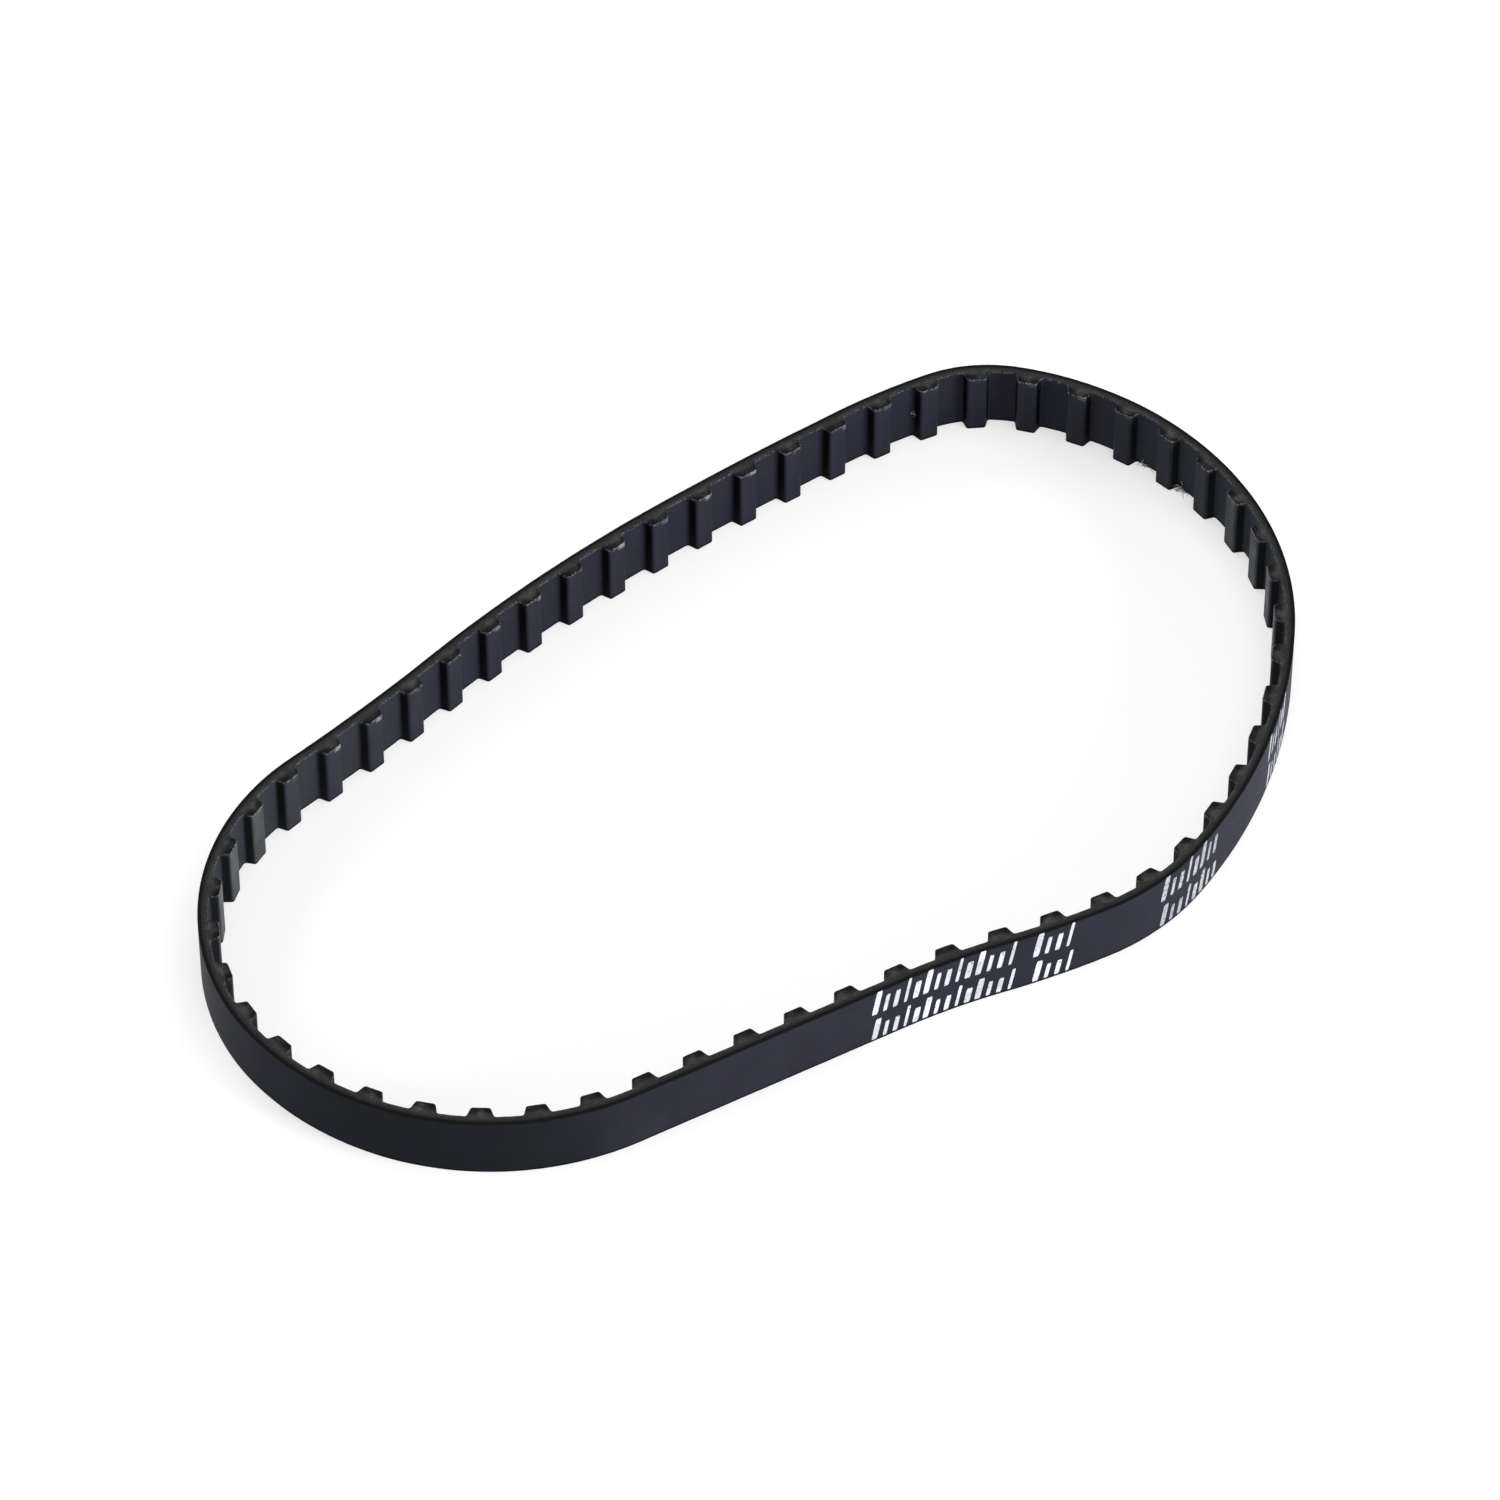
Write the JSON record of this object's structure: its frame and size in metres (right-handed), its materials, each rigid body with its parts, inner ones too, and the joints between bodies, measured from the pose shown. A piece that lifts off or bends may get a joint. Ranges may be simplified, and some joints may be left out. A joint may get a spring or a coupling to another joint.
{
  "type": "timing belt",
  "caption": "Endless rubber timing belt with trapezoidal inner teeth and a smooth back, for driving toothed pulleys in step.",
  "frame": {"origin": "centre of the loop's outer box at the edge the belt stands on", "axes": "+X along the loop's longest extent, +Z across the belt's width, up from the edge it stands on"},
  "size_m": [0.1862, 0.1706, 0.0127],
  "materials": {
    "backing_rubber": "satin black moulded rubber with a fine ground surface",
    "tooth_rubber": "matte black moulded rubber",
    "nylon_facing": "black rubber-treated nylon weave",
    "glass_cord": "treated twisted glass yarn"
  },
  "bodies": {
    "root": {"backing": "backing_rubber", "tensile_cord_left_lay": "glass_cord", "tensile_cord_right_lay": "glass_cord", "tooth_facing": "nylon_facing", "tooth_01": "tooth_rubber", "tooth_02": "tooth_rubber", "tooth_03": "tooth_rubber", "tooth_04": "tooth_rubber", "tooth_05": "tooth_rubber", "tooth_06": "tooth_rubber", "tooth_07": "tooth_rubber", "tooth_08": "tooth_rubber", "tooth_09": "tooth_rubber", "tooth_10": "tooth_rubber", "tooth_11": "tooth_rubber", "tooth_12": "tooth_rubber", "tooth_13": "tooth_rubber", "tooth_14": "tooth_rubber", "tooth_15": "tooth_rubber", "tooth_16": "tooth_rubber", "tooth_17": "tooth_rubber", "tooth_18": "tooth_rubber", "tooth_19": "tooth_rubber", "tooth_20": "tooth_rubber", "tooth_21": "tooth_rubber", "tooth_22": "tooth_rubber", "tooth_23": "tooth_rubber", "tooth_24": "tooth_rubber", "tooth_25": "tooth_rubber", "tooth_26": "tooth_rubber", "tooth_27": "tooth_rubber", "tooth_28": "tooth_rubber", "tooth_29": "tooth_rubber", "tooth_30": "tooth_rubber", "tooth_31": "tooth_rubber", "tooth_32": "tooth_rubber", "tooth_33": "tooth_rubber", "tooth_34": "tooth_rubber", "tooth_35": "tooth_rubber", "tooth_36": "tooth_rubber", "tooth_37": "tooth_rubber", "tooth_38": "tooth_rubber", "tooth_39": "tooth_rubber", "tooth_40": "tooth_rubber", "tooth_41": "tooth_rubber", "tooth_42": "tooth_rubber", "tooth_43": "tooth_rubber", "tooth_44": "tooth_rubber", "tooth_45": "tooth_rubber", "tooth_46": "tooth_rubber", "tooth_47": "tooth_rubber", "tooth_48": "tooth_rubber", "tooth_49": "tooth_rubber", "tooth_50": "tooth_rubber", "tooth_51": "tooth_rubber", "tooth_52": "tooth_rubber", "tooth_53": "tooth_rubber", "tooth_54": "tooth_rubber", "tooth_55": "tooth_rubber", "tooth_56": "tooth_rubber"}
  },
  "joints": []
}
